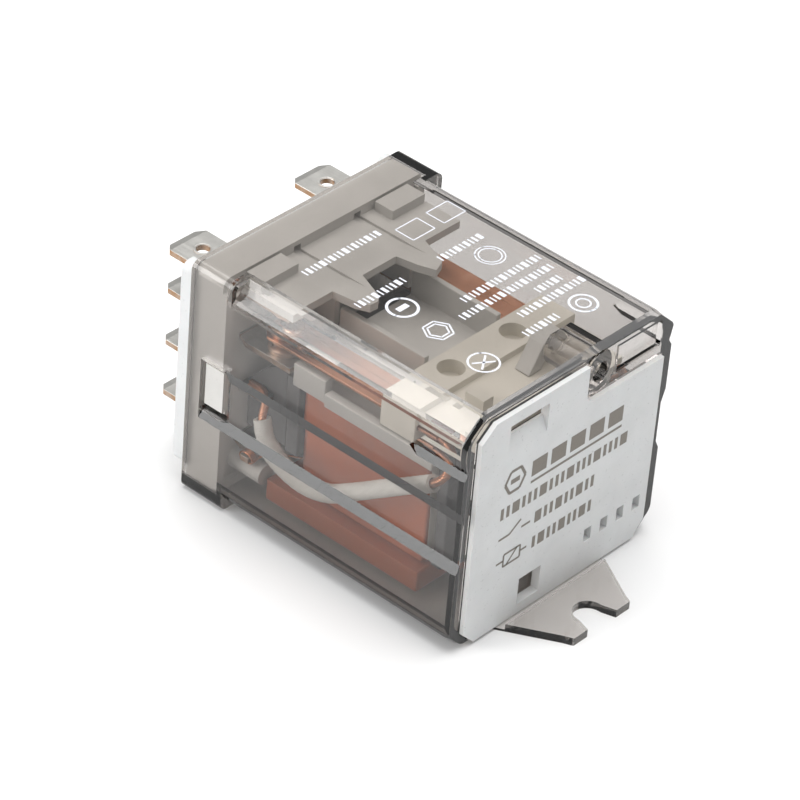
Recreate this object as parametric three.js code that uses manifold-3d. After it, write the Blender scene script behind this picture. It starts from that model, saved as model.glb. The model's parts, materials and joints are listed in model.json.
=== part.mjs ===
// Two pole plug-in power relay in a smoked cover, lying on its mounting side.
// Millimetres. +Z up, label faces -Y, blade terminals point along +Y, the poles lie side by side along X.
import * as THREE from "three";
import { mergeVertices } from "three/addons/utils/BufferGeometryUtils.js";
import Module from "manifold-3d";

const wasm = await Module();
wasm.setup();

// ---- driving dimensions ----
const HALF_W = 18.75; // half width of the cover
const HEIGHT = 34.1; // height of the cover
const BODY_Y = 37.9; // front face to skirt
const REAR_Y = 44.7; // rear rim of the skirt
const WALL = 1.4; // cover wall
const TOP_BEVEL = [3.1, 2.9]; // long bevels above, across and down
const LOW_BEVEL = 2.6; // long bevels below
const SKIRT_R = 1.2; // corner radius of the skirt
const RIM = [0.5, 1.0]; // front rim chamfer, inward and along
const SIDE_CUT = 0.68; // depth of the grip channels in the sides
const CHANNEL_Z = [12.2, 13.5, 19.4, 21.4]; // lower step start and end, upper step start and end
const NOTCH = { y: 8.7, left: 26.0, right: 27.8, rise: 3.4, depth: 0.6 }; // sloping thumb recess at the front of each side
const WINDOW = { y0: 38.2, y1: 42.4, z0: 13.6, z1: 21.0 }; // latch windows of the skirt
const EAR = { x: -0.85, root: 10.0, tip: 5.2, y: -9.0, t: 1.15, slotR: 2.1, slotY: -6.9, mouth: 2.7 };
const BOSS = { x: 4.7, z: 30.7, r: 2.8, hole: 1.4, y0: -0.25, y1: 6.4 };
const POCKET = { x0: 8.1, x1: 16.3, z0: 28.8, z1: 32.6, depth: 0.7 };

const LABEL = { half: 16.77, z0: 0.45, z1: 32.65, y0: -0.55, t: 1.3, inset: 0.7 };
const LABEL_CUT = { x: 2.3, z: 27.25, r: 1.4 };

const POLE_X = 11.1; // pole and terminal column centre
const TAB_W = 6.35;
const TAB_T = 0.8;
const TAB_TIP = 53.7;
const TAB_Z = { no: 29.3, nc: 23.6, com: 15.85, coil: 8.2 }; // mid planes of the four terminal levels
const INNER_W = 5.4; // width of the terminals inside
const CONTACT_Y = 35.0;
const BACK_PLATE_T = 1.7;
const FIT = 0.12; // running gap between moulded parts

const BLADE = { w: 4.8, y0: 8.4, y1: 37.2, z0: 25.2, t: 0.4 };
const PIVOT = { y: 9.0, z: 23.15 }; // hinge edge of the yoke
const COIL_Z = 13.05; // height of the coil axis
const COIL_Y = [10.0, 30.3];
const COIL_HALF = [12.2, 7.95]; // outside of the tape, across and up
const YOKE_HALF = 7.4;

// ---- materials ----
const paint = (name, color, roughness, metalness = 0, opacity = 1) => {
  const m = new THREE.MeshStandardMaterial({ name, color, roughness, metalness });
  m.opacity = opacity;
  m.transparent = opacity < 1;
  return m;
};
const smoked = paint("smoked_polycarbonate", "#8a7f78", 0.15, 0, 0.4);
const whitePlastic = paint("white_moulding", "#d8d6d2", 0.5);
const greyPlastic = paint("grey_moulding", "#b4b0a8", 0.6);
const beigePlastic = paint("beige_moulding", "#c9c0ad", 0.6);
const orangePlastic = paint("orange_brown_moulding", "#b5623f", 0.6);
const orangeTape = paint("orange_tape", "#c06a45", 0.45);
const tinned = paint("tinned_brass", "#b9b5ac", 0.35, 1);
const copper = paint("copper_alloy", "#b5673f", 0.35, 1);
const silver = paint("silver_alloy", "#c8c4bc", 0.3, 1);
const steel = paint("zinc_plated_steel", "#8c8d8c", 0.4, 1);
const darkPlastic = paint("charcoal_moulding", "#3d3d3e", 0.6);
const sheath = paint("grey_silicone", "#b9b6ae", 0.7);
const enamel = paint("enamelled_wire", "#9c4a22", 0.35, 0.6);

// ---- solid helpers ----
function toSolid(geometry) {
  const bare = geometry.index ? geometry.toNonIndexed() : geometry.clone();
  for (const name of Object.keys(bare.attributes)) {
    if (name !== "position") bare.deleteAttribute(name);
  }
  const merged = mergeVertices(bare, 1e-4);
  const source = merged.index.array;
  const tris = [];
  for (let i = 0; i < source.length; i += 3) {
    const [a, b, c] = [source[i], source[i + 1], source[i + 2]];
    if (a !== b && b !== c && c !== a) tris.push(a, b, c);
  }
  return new wasm.Manifold(
    new wasm.Mesh({
      numProp: 3,
      vertProperties: new Float32Array(merged.attributes.position.array),
      triVerts: new Uint32Array(tris),
    }),
  );
}

function toGeometry(solid) {
  const mesh = solid.getMesh();
  const geometry = new THREE.BufferGeometry();
  geometry.setAttribute("position", new THREE.BufferAttribute(new Float32Array(mesh.vertProperties), 3));
  geometry.setIndex(new THREE.BufferAttribute(new Uint32Array(mesh.triVerts), 1));
  return geometry;
}

function box(x0, x1, y0, y1, z0, z1) {
  const g = new THREE.BoxGeometry(x1 - x0, y1 - y0, z1 - z0);
  g.translate((x0 + x1) / 2, (y0 + y1) / 2, (z0 + z1) / 2);
  return toSolid(g);
}

const shapeOf = (points) => new THREE.Shape(points.map(([a, b]) => new THREE.Vector2(a, b)));
const flat = (shape, depth) =>
  new THREE.ExtrudeGeometry(shape, { depth, bevelEnabled: false, curveSegments: 8 });

// outline given as x, z; runs along Y
function alongY(outline, y0, y1) {
  const shape = outline instanceof THREE.Shape ? outline : shapeOf(outline);
  const g = flat(shape, y1 - y0);
  g.rotateX(Math.PI / 2);
  g.translate(0, y1, 0);
  return toSolid(g);
}

// outline given as x, y; runs along Z
function alongZ(outline, z0, z1) {
  const shape = outline instanceof THREE.Shape ? outline : shapeOf(outline);
  const g = flat(shape, z1 - z0);
  g.translate(0, 0, z0);
  return toSolid(g);
}

// outline given as y, z; runs along X
function alongX(outline, x0, x1) {
  const shape = outline instanceof THREE.Shape ? outline : shapeOf(outline);
  const g = flat(shape, x1 - x0);
  g.applyMatrix4(new THREE.Matrix4().set(0, 0, 1, x0, 1, 0, 0, 0, 0, 1, 0, 0, 0, 0, 0, 1));
  return toSolid(g);
}

function rodY(x, z, r, y0, y1, sides = 28) {
  const g = new THREE.CylinderGeometry(r, r, y1 - y0, sides);
  g.translate(x, (y0 + y1) / 2, z);
  return toSolid(g);
}

function rodZ(x, y, r, z0, z1, sides = 24) {
  const g = new THREE.CylinderGeometry(r, r, z1 - z0, sides);
  g.rotateX(Math.PI / 2);
  g.translate(x, y, (z0 + z1) / 2);
  return toSolid(g);
}

// two stacked outlines of equal point count joined into one tapering body, x, z at two depths
function loftY(outlineA, yA, outlineB, yB) {
  const n = outlineA.length;
  const verts = [];
  for (const [x, z] of outlineA) verts.push(x, yA, z);
  for (const [x, z] of outlineB) verts.push(x, yB, z);
  const tris = [];
  for (let i = 1; i < n - 1; i += 1) {
    tris.push(0, i, i + 1);
    tris.push(n, n + i + 1, n + i);
  }
  for (let i = 0; i < n; i += 1) {
    const j = (i + 1) % n;
    tris.push(i, n + i, n + j);
    tris.push(i, n + j, j);
  }
  return new wasm.Manifold(
    new wasm.Mesh({
      numProp: 3,
      vertProperties: new Float32Array(verts),
      triVerts: new Uint32Array(tris),
    }),
  );
}

const unite = (...solids) => solids.reduce((a, b) => a.add(b));
const cut = (solid, ...tools) => tools.reduce((a, b) => a.subtract(b), solid);

const root = new THREE.Group();
root.name = "plug_in_relay";

function piece(name, source, material) {
  const geometry = source instanceof THREE.BufferGeometry ? source : toGeometry(source);
  geometry.computeVertexNormals();
  const mesh = new THREE.Mesh(geometry, material);
  mesh.name = name;
  root.add(mesh);
}

// every corner of a closed outline cut back by d along both of its edges
function softened(points, d) {
  return points.flatMap((p, i) => {
    const n = points.length;
    return [points[(i + n - 1) % n], points[(i + 1) % n]].map((q) => {
      const length = Math.hypot(q[0] - p[0], q[1] - p[1]);
      return [p[0] + ((q[0] - p[0]) * d) / length, p[1] + ((q[1] - p[1]) * d) / length];
    });
  });
}

// counter-clockwise octagon, inset from the cover outline; x, z
function bodyOutline(inset) {
  const t = inset * 0.414;
  const w = HALF_W - inset;
  const top = HEIGHT - inset;
  const [bx, bz] = TOP_BEVEL;
  const corners = [
    [-w + LOW_BEVEL - inset + t, inset],
    [w - LOW_BEVEL + inset - t, inset],
    [w, LOW_BEVEL + t],
    [w, top - bz + inset - t],
    [w - bx + inset - t, top],
    [-w + bx - inset + t, top],
    [-w, top - bz + inset - t],
    [-w, LOW_BEVEL + t],
  ];
  return softened(corners, 0.38);
}

function roundedRect(half, z0, z1, r) {
  const s = new THREE.Shape();
  s.moveTo(-half + r, z0);
  s.lineTo(half - r, z0);
  s.absarc(half - r, z0 + r, r, -Math.PI / 2, 0, false);
  s.lineTo(half, z1 - r);
  s.absarc(half - r, z1 - r, r, 0, Math.PI / 2, false);
  s.lineTo(-half + r, z1);
  s.absarc(-half + r, z1 - r, r, Math.PI / 2, Math.PI, false);
  s.lineTo(-half, z0 + r);
  s.absarc(-half + r, z0 + r, r, Math.PI, Math.PI * 1.5, false);
  return s;
}

// ---- smoked cover ----
function earSolid() {
  const { x, root: rootHalf, tip, y, t, slotR, slotY, mouth } = EAR;
  const s = new THREE.Shape();
  s.moveTo(x - rootHalf, 1.2);
  s.lineTo(x - rootHalf, -0.3);
  s.lineTo(x - tip - 0.6, y + 1.3);
  s.lineTo(x - tip, y);
  s.lineTo(x - mouth, y);
  s.lineTo(x - slotR, y + 1.9);
  s.lineTo(x - slotR, slotY);
  s.absarc(x, slotY, slotR, Math.PI, 0, true);
  s.lineTo(x + slotR, y + 1.9);
  s.lineTo(x + mouth, y);
  s.lineTo(x + tip, y);
  s.lineTo(x + tip + 0.6, y + 1.3);
  s.lineTo(x + rootHalf, -0.3);
  s.lineTo(x + rootHalf, 1.2);
  s.closePath();
  return alongZ(s, 0, t);
}

// runs out to nothing at the top, with a pointed rear end
function notchTool(s) {
  const { y, left, right, rise, depth } = NOTCH;
  const z0 = s < 0 ? left : right;
  const z1 = z0 + rise;
  const outline = [
    [-1, z0],
    [y - 1.2, z0],
    [y, z0 + 0.9],
    [y - 2.2, z1],
    [-1, z1],
  ];
  const slope = [
    [s * (HALF_W + 1), z0],
    [s * (HALF_W + 1), z1 + 0.01],
    [s * HALF_W, z1 + 0.01],
    [s * (HALF_W - depth), z0 + 0.9],
    [s * HALF_W, z0],
  ];
  if (s < 0) slope.reverse();
  const [x0, x1] = [Math.min(s * 15, s * 21), Math.max(s * 15, s * 21)];
  return alongX(outline, x0, x1).intersect(alongY(slope, -1, y + 1));
}

function coverSolid() {
  // the front rim is chamfered above and below, the sides keep their width
  const widen = (HALF_W - 0.05) / (HALF_W - RIM[0]);
  const front = bodyOutline(RIM[0]).map(([x, z]) => [x * widen, z]);
  let shell = unite(
    loftY(front, 0, bodyOutline(0), RIM[1]),
    alongY(bodyOutline(0), RIM[1], BODY_Y + 0.5),
    alongY(roundedRect(HALF_W, 0, HEIGHT, SKIRT_R), BODY_Y, REAR_Y),
    earSolid(),
    rodY(BOSS.x, BOSS.z, BOSS.r, BOSS.y0, WALL),
  );
  const inner = alongY(bodyOutline(WALL), WALL, BODY_Y + 0.5);
  const skirtRoom = alongY(roundedRect(HALF_W - WALL, WALL, HEIGHT - WALL, 0.6), BODY_Y + WALL, REAR_Y + 1);
  shell = cut(shell, inner, alongY(bodyOutline(WALL), BODY_Y, BODY_Y + WALL + 0.1), skirtRoom);
  const tube = rodY(BOSS.x, BOSS.z, BOSS.r, WALL - 0.2, BOSS.y1);
  shell = unite(shell, tube);
  shell = cut(shell, rodY(BOSS.x, BOSS.z, BOSS.hole, -2, BOSS.y1 + 1));
  // label seat and clear pocket beside the boss
  const seat = alongY(labelOutline(FIT), LABEL.y0 - 1, LABEL.inset + FIT);
  const pocket = box(POCKET.x0, POCKET.x1, -1, POCKET.depth, POCKET.z0, POCKET.z1);
  shell = cut(shell, seat, pocket);
  const [za, zb, zc, zd] = CHANNEL_Z;
  for (const s of [-1, 1]) {
    const out = s * (HALF_W + 2);
    const face = s * HALF_W;
    const floor = s * (HALF_W - SIDE_CUT);
    const profile = [
      [out, za],
      [face, za],
      [floor, zb],
      [floor, zc],
      [face, zd],
      [out, zd],
    ];
    if (s > 0) profile.reverse();
    shell = cut(shell, alongY(profile, -1, WINDOW.y0 + 0.1));
    const sill = [
      [out, za],
      [face, za],
      [floor, zb],
      [out, zb],
    ];
    if (s > 0) sill.reverse();
    shell = cut(shell, alongY(sill, -1, WINDOW.y1));
    shell = cut(shell, notchTool(s));
    const [w0, w1] = [Math.min(s * 16, out), Math.max(s * 16, out)];
    shell = cut(shell, box(w0, w1, WINDOW.y0, WINDOW.y1, WINDOW.z0, WINDOW.z1));
  }
  return shell;
}

// ---- label plate ----
function labelOutline(grow) {
  const w = LABEL.half + grow;
  const z0 = LABEL.z0 - grow;
  const z1 = LABEL.z1 + grow;
  const cutX = LABEL_CUT.x + grow;
  const cutZ = LABEL_CUT.z + grow;
  const r = LABEL_CUT.r;
  const s = new THREE.Shape();
  s.moveTo(-w + 2.0, z0);
  s.lineTo(w - 2.0, z0);
  s.lineTo(w, z0 + 2.1);
  s.lineTo(w, cutZ);
  s.lineTo(cutX + r, cutZ);
  s.absarc(cutX + r, cutZ + r, r, -Math.PI / 2, -Math.PI, true);
  s.lineTo(cutX, z1);
  s.lineTo(-w + 2.4, z1);
  s.lineTo(-w, z1 - 1.95);
  s.lineTo(-w, z0 + 1.95);
  s.closePath();
  return s;
}

function labelSolid() {
  const y0 = LABEL.y0;
  const y1 = LABEL.y0 + LABEL.t - 0.1;
  let plate = alongY(labelOutline(0), y0, y1);
  // tool slot with a sloping run-out below it
  plate = cut(plate, box(-11.7, -4.85, y0 - 1, y1 + 1, 28.9, 31.0));
  const ramp = alongX(
    [
      [y0 - 0.01, 26.9],
      [y0 + 0.85, 28.91],
      [y0 - 0.01, 28.91],
    ],
    -11.7,
    -4.85,
  );
  plate = cut(plate, ramp);
  // inspection window and four terminal-side holes
  plate = cut(plate, box(-7.1, -3.1, y0 - 1, y1 + 1, 1.95, 5.85));
  for (let i = 0; i < 4; i += 1) {
    const x = 4.85 + 3.07 * i;
    plate = cut(plate, box(x, x + 1.35, y0 - 1, y1 - 0.2, 5.05, 7.0));
  }
  return plate;
}

// ---- terminals ----
function tabBlade(x, z) {
  const w = TAB_W / 2;
  const s = new THREE.Shape();
  s.moveTo(x - w, REAR_Y + 0.9);
  s.lineTo(x + w, REAR_Y + 0.9);
  s.lineTo(x + w, TAB_TIP - 1.0);
  s.lineTo(x + w - 1.0, TAB_TIP);
  s.lineTo(x - w + 1.0, TAB_TIP);
  s.lineTo(x - w, TAB_TIP - 1.0);
  s.closePath();
  let tab = alongZ(s, z - TAB_T / 2, z + TAB_T / 2);
  tab = cut(tab, rodZ(x, TAB_TIP - 3.6, 0.9, z - 1, z + 1, 16));
  for (const side of [-1, 1]) {
    const edge = [
      [TAB_TIP - 1.1, z + side * (TAB_T / 2)],
      [TAB_TIP + 0.2, z + side * (TAB_T / 2 - 0.3)],
      [TAB_TIP + 0.2, z + side * (TAB_T / 2 + 0.3)],
      [TAB_TIP - 1.1, z + side * (TAB_T / 2 + 0.3)],
    ];
    if (side < 0) edge.reverse();
    tab = cut(tab, alongX(edge, x - w - 1, x + w + 1));
  }
  return tab;
}

function terminalSolid(x, z, innerY, drop, hole) {
  const h = INNER_W / 2;
  const t = TAB_T / 2;
  const joggle = 39.9;
  let solid = unite(tabBlade(x, z), box(x - h, x + h, joggle, REAR_Y + 1, z - t, z + t));
  if (drop > 0) {
    const run = alongX(
      [
        [joggle - 0.9, z - t - drop],
        [joggle + 0.2, z - t],
        [joggle + 0.2, z + t],
        [joggle - 0.9, z + t - drop],
      ],
      x - h,
      x + h,
    );
    solid = unite(solid, run, box(x - h, x + h, innerY, joggle - 0.8, z - t - drop, z + t - drop));
  } else {
    solid = unite(solid, box(x - h, x + h, innerY, joggle + 0.2, z - t, z + t));
  }
  if (z === TAB_Z.coil) {
    // winding pin on the outer edge
    const pin = [x + Math.sign(x) * (h - 0.2), x + Math.sign(x) * (h + 1.5)].sort((a, b) => a - b);
    solid = unite(solid, box(...pin, 36.2, 37.6, z - t - drop, z + t - drop));
  }
  if (hole) solid = cut(solid, rodZ(x, CONTACT_Y, 0.95, z - t - drop - 1, z + t - drop + 1, 16));
  return solid;
}

// ---- grey base moulding ----
const TERMINALS = [];
for (const s of [-1, 1]) {
  const side = s < 0 ? "left" : "right";
  TERMINALS.push([`terminal_no_${side}`, s * POLE_X, TAB_Z.no, 32.6, 0, true]);
  TERMINALS.push([`terminal_nc_${side}`, s * POLE_X, TAB_Z.nc, 31.7, 0.8, true]);
  TERMINALS.push([`terminal_common_${side}`, s * POLE_X, TAB_Z.com, 35.6, 0, false]);
  TERMINALS.push([`terminal_coil_${side}`, s * POLE_X, TAB_Z.coil, 36.0, 0.8, false]);
}

// deck in front of the step, with two guard fingers that reach over the pole gap
const DECK = [
  [-14.6, 40.4],
  [-14.6, 31.3],
  [-8.2, 31.3],
  [-7.7, 28.0],
  [-6.9, 26.3],
  [-5.6, 26.2],
  [-4.7, 26.9],
  [-3.0, 31.2],
  [3.0, 31.2],
  [3.6, 28.3],
  [4.5, 25.9],
  [6.3, 26.6],
  [6.9, 27.2],
  [7.6, 29.7],
  [8.2, 31.1],
  [14.6, 31.1],
  [14.6, 40.4],
];

function baseSolid() {
  const w = HALF_W - WALL - FIT;
  const z0 = WALL + FIT;
  const z1 = HEIGHT - WALL - FIT;
  let solid = alongY(roundedRect(w, z0, z1, 0.5), 40.1, REAR_Y);
  // side and floor rim toward the front, latches in the skirt windows
  for (const s of [-1, 1]) {
    const [a, b] = [Math.min(s * w, s * (w - 1.3)), Math.max(s * w, s * (w - 1.3))];
    solid = unite(solid, box(a, b, BODY_Y + WALL + 0.1, 40.4, z0 + 0.5, z1 - 1.2));
    const [c, d] = [Math.min(s * (w - 0.4), s * 18.2), Math.max(s * (w - 0.4), s * 18.2)];
    solid = unite(solid, box(c, d, 39.0, 42.0, 14.3, 20.3));
    // brackets that take the coil foot
    const [e, f] = [Math.min(s * 7.0, s * 11.0), Math.max(s * 7.0, s * 11.0)];
    solid = unite(solid, box(e, f, 34.6, 40.4, z0 + 0.3, 4.6));
    // raised pads on the deck
    const [g, h] = [Math.min(s * 8.4, s * 14.3), Math.max(s * 8.4, s * 14.3)];
    solid = unite(solid, box(g, h, 36.8, 39.8, 30.9, 32.4));
    // posts beside the coil terminals
    solid = unite(solid, rodY(s * 13.4, 5.2, 1.4, 34.8, 40.4, 20));
  }
  solid = unite(solid, box(-w + 0.5, w - 0.5, BODY_Y + WALL + 0.1, 40.4, z0, z0 + 1.2));
  // seat that carries the magnet's rear leg
  solid = unite(solid, box(-6.0, 6.0, 33.9, 40.4, 6.4, 18.0));
  solid = unite(solid, alongZ(DECK, 30.0, 31.1));
  // insulating walls under the deck between the poles
  for (const s of [-1, 1]) {
    const [a, b] = [Math.min(s * 6.3, s * 7.2), Math.max(s * 6.3, s * 7.2)];
    solid = unite(solid, box(a, b, 31.6, 40.4, 24.6, 30.2));
    // pocket in the step and the shallow groove that runs forward from it
    const groove = s < 0 ? -5.7 : 5.0;
    solid = cut(solid, box(groove, groove + 1.2, 33.0, 41.4, 30.75, 31.9));
    const ramp = [
      [28.6, 31.15],
      [33.1, 30.75],
      [33.1, 31.3],
      [28.6, 31.3],
    ];
    solid = cut(solid, alongX(ramp, groove, groove + 1.2));
  }
  for (const [, x, z] of TERMINALS) {
    const h = INNER_W / 2 + FIT;
    const t = TAB_T / 2 + FIT;
    solid = cut(solid, box(x - h, x + h, 38, REAR_Y + 1, z - t, z + t));
  }
  return solid;
}

function backPlateSolid() {
  const half = HALF_W - 0.15;
  const [y0, y1] = [REAR_Y + 0.1, REAR_Y + 0.1 + BACK_PLATE_T];
  let solid = alongY(roundedRect(half, 3.3, 33.0, 1.3), y0, y1);
  // the top edge is relieved between its corners
  const relief = [
    [-17.0, 33.5],
    [-15.6, 31.7],
    [15.6, 31.7],
    [17.0, 33.5],
  ];
  solid = cut(solid, alongY(relief, y0 - 1, y1 + 1));
  for (const [, x, z] of TERMINALS) {
    const h = TAB_W / 2 + FIT;
    const t = TAB_T / 2 + FIT;
    solid = cut(solid, box(x - h, x + h, REAR_Y - 1, REAR_Y + 4, z - t, z + t));
  }
  return solid;
}

// ---- contacts ----
// round stepped body about Z from a list of radius, height pairs
function turned(profile, x, y, segments = 24) {
  const points = profile.map(([r, z]) => new THREE.Vector2(r, z));
  const g = new THREE.LatheGeometry(points, segments);
  g.rotateX(Math.PI / 2);
  g.translate(x, y, 0);
  return toSolid(g);
}

function fixedContact(x, lowZ, direction) {
  // direction 1: face upward, -1: face downward; lowZ is the plate face under the head
  const d = direction;
  const rows = [
    [0, lowZ - d * (TAB_T + 0.2)],
    [1.35, lowZ - d * (TAB_T + 0.2)],
    [1.35, lowZ - d * (TAB_T + 0.03)],
    [0.88, lowZ - d * (TAB_T + 0.03)],
    [0.88, lowZ + d * 0.03],
    [2.2, lowZ + d * 0.03],
    [2.2, lowZ + d * 0.62],
    [1.9, lowZ + d * 0.86],
    [1.0, lowZ + d * 0.98],
    [0, lowZ + d * 1.0],
  ];
  return turned(d > 0 ? rows : rows.reverse(), x, CONTACT_Y);
}

function movingContact(x) {
  const z = BLADE.z0;
  const t = BLADE.t;
  const rows = [
    [0, z - 0.94],
    [1.0, z - 0.92],
    [1.7, z - 0.8],
    [2.0, z - 0.56],
    [2.0, z - 0.03],
    [0.75, z - 0.03],
    [0.75, z + t + 0.03],
    [2.0, z + t + 0.03],
    [2.0, z + t + 0.5],
    [1.7, z + t + 0.76],
    [1.0, z + t + 0.88],
    [0, z + t + 0.9],
  ];
  return turned(rows, x, CONTACT_Y);
}

function bladeSolid(x) {
  const h = BLADE.w / 2;
  const s = shapeOf([
    [x - h, BLADE.y0],
    [x + h, BLADE.y0],
    [x + h, BLADE.y1 - 1.2],
    [x + h - 1.2, BLADE.y1],
    [x - h + 1.2, BLADE.y1],
    [x - h, BLADE.y1 - 1.2],
  ]);
  const plate = alongZ(s, BLADE.z0, BLADE.z0 + BLADE.t);
  return cut(plate, rodZ(x, CONTACT_Y, 0.82, BLADE.z0 - 1, BLADE.z0 + 2, 16));
}

// ---- moving carrier ----
function carrierSolid() {
  let solid = unite(
    box(-14.0, 14.0, 11.4, 16.8, 23.4, 27.8),
    box(-13.4, 13.4, 3.6, 11.6, 25.9, 26.9),
    box(-13.4, -11.6, 3.6, 4.6, 25.9, 28.2),
    box(-9.0, -7.2, 6.0, 8.9, 26.8, 28.9),
  );
  for (const s of [-1, 1]) solid = cut(solid, rodZ(s * 5.6, 14.1, 1.75, 25.9, 29, 24));
  solid = cut(solid, box(-YOKE_HALF - FIT, YOKE_HALF + FIT, 11, 17, 23, 25.3));
  for (const s of [-1, 1]) {
    const [a, b] = [s * POLE_X - BLADE.w / 2 - FIT, s * POLE_X + BLADE.w / 2 + FIT];
    solid = cut(solid, box(a, b, 11, 17, BLADE.z0 - FIT, BLADE.z0 + BLADE.t + FIT));
  }
  return solid;
}

// grey flag behind the cover's guide tube, an arch standing on the carrier
function flagSolid() {
  const arch = [
    [0.8, 26.98],
    [7.0, 26.98],
    [7.0, 30.6],
    [6.6, 31.0],
    [3.6, 31.0],
    [3.0, 30.5],
  ];
  const gap = [
    [2.7, 26.0],
    [5.7, 26.0],
    [4.9, 29.2],
    [4.1, 29.2],
  ];
  return cut(alongY(arch, 7.3, 9.6), alongY(gap, 7, 10));
}

// ---- magnet ----
function armatureSolid() {
  const legZ = PIVOT.z + 0.15;
  return unite(
    box(-12.0, 12.0, 7.2, 8.8, 5.6, 21.0),
    box(-YOKE_HALF, YOKE_HALF, 7.2, 8.8, 20.8, legZ + 1.6),
    box(-YOKE_HALF, YOKE_HALF, 7.2, 16.0, legZ, legZ + 1.6),
  );
}

function yokeSolid() {
  const solid = unite(
    box(-YOKE_HALF, YOKE_HALF, PIVOT.y, 33.2, 21.2, 23.05),
    box(-YOKE_HALF, YOKE_HALF, 31.2, 33.2, 6.1, 23.05),
    box(-12.4, 12.4, 31.2, 33.2, 9.2, 20.8),
  );
  return cut(solid, box(-4.0 - 0.05, 4.0 + 0.05, 30, 34, COIL_Z - 3.95 - 0.05, COIL_Z + 3.95 + 0.05));
}

function coreSolid() {
  const solid = box(-4.0, 4.0, 9.75, 33.5, COIL_Z - 3.95, COIL_Z + 3.95);
  return cut(solid, box(-5, 5, 9, 11.0, COIL_Z + 0.4, COIL_Z + 1.5));
}

function shadingRingSolid() {
  const outer = box(-4.9, 4.9, 9.85, 10.8, COIL_Z + 0.5, COIL_Z + 4.85);
  const room = box(-4.1, 4.1, 9, 11, COIL_Z + 1.4, COIL_Z + 4.05);
  return cut(outer, room);
}

function bobbinSolid() {
  const [hx, hz] = [COIL_HALF[0] - 0.6, COIL_HALF[1] - 0.6];
  const [ya, yb] = COIL_Y;
  let solid = unite(
    box(-hx, hx, ya + 0.1, ya + 1.0, COIL_Z - hz, COIL_Z + hz),
    box(-hx, hx, yb - 1.0, yb - 0.1, COIL_Z - hz, COIL_Z + hz),
    box(-5.1, 5.1, ya + 0.2, yb - 0.2, COIL_Z - 5.05, COIL_Z + 5.05),
  );
  solid = cut(
    solid,
    box(-4.15, 4.15, ya - 1, yb + 1, COIL_Z - 4.1, COIL_Z + 4.1),
    box(-5.0, 5.0, ya - 1, ya + 0.85, COIL_Z + 0.2, COIL_Z + 4.95),
  );
  return solid;
}

// dark block between the magnet and the base, open for the common terminals
function rearBlockSolid() {
  const side = [
    [33.4, 9.6],
    [39.9, 9.6],
    [39.9, 16.5],
    [36.8, 19.9],
    [35.2, 20.8],
    [33.4, 20.8],
  ];
  let solid = alongX(side, -12.2, 12.2);
  solid = cut(solid, box(-6.15, 6.15, 33, 41, 9, 18.15));
  for (const s of [-1, 1]) {
    const [a, b] = [Math.min(s * 8.2, s * 13), Math.max(s * 8.2, s * 13)];
    solid = cut(solid, box(a, b, 35.4, 41, TAB_Z.com - 0.55, TAB_Z.com + 0.55));
  }
  return solid;
}

// insulating foot under the coil
function footSolid() {
  const plate = box(-13.7, 13.7, 9.2, 34.4, 1.9, 4.9);
  return cut(plate, box(-11.0, 11.0, 13.0, 30.6, 3.4, 5.2));
}

function frameY(outerX, outerZ, innerX, innerZ, y0, y1) {
  const outer = box(-outerX, outerX, y0, y1, COIL_Z - outerZ, COIL_Z + outerZ);
  return cut(outer, box(-innerX, innerX, y0 - 1, y1 + 1, COIL_Z - innerZ, COIL_Z + innerZ));
}

// ---- insulating channel over the yoke ----
function channelSolid() {
  let solid = box(-8.2, 8.2, 17.2, 31.0, 23.4, 24.2);
  for (const s of [-1, 1]) {
    const span = (a, b) => [Math.min(s * a, s * b), Math.max(s * a, s * b)];
    const [w0, w1] = span(7.6, 8.2);
    solid = unite(solid, box(w0, w1, 17.2, 31.0, 21.3, 24.0));
    const [t0, t1] = span(7.9, 13.9);
    solid = unite(solid, box(t0, t1, 17.2, 31.0, 21.3, 22.1));
    const [f0, f1] = span(13.1, 14.4);
    solid = unite(solid, box(f0, f1, 8.0, 25.4, 21.3, 23.2));
    const [l0, l1] = span(12.5, 13.9);
    solid = unite(solid, box(l0, l1, 25.8, 31.0, 21.9, 24.5));
    const [r0, r1] = span(6.1, 6.9);
    solid = unite(solid, box(r0, r1, 17.2, 31.0, 24.0, 28.2));
  }
  return solid;
}

// leaf that presses the armature back down on the yoke
function springSolid() {
  const t = 0.16;
  const low = PIVOT.z - 0.02;
  const high = PIVOT.z + 0.15 + 1.6 + 0.06;
  return alongX(
    [
      [24.0, low],
      [24.0, low + t],
      [17.0, low + t],
      [16.5, high + t],
      [12.0, high + t],
      [12.0, high],
      [16.38, high],
      [16.88, low],
    ],
    -2.5,
    2.5,
  );
}

// ---- leads ----
function along(points, outer, inner, steps, sides) {
  const path = new THREE.CatmullRomCurve3(points.map((p) => new THREE.Vector3(...p)), false, "centripetal");
  const ring = new THREE.Shape();
  ring.absarc(0, 0, outer, 0, Math.PI * 2, false);
  if (inner > 0) {
    const hole = new THREE.Path();
    hole.absarc(0, 0, inner, 0, Math.PI * 2, true);
    ring.holes.push(hole);
  }
  const g = new THREE.ExtrudeGeometry(ring, {
    steps,
    bevelEnabled: false,
    extrudePath: path,
    curveSegments: sides,
  });
  return toSolid(g);
}

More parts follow.
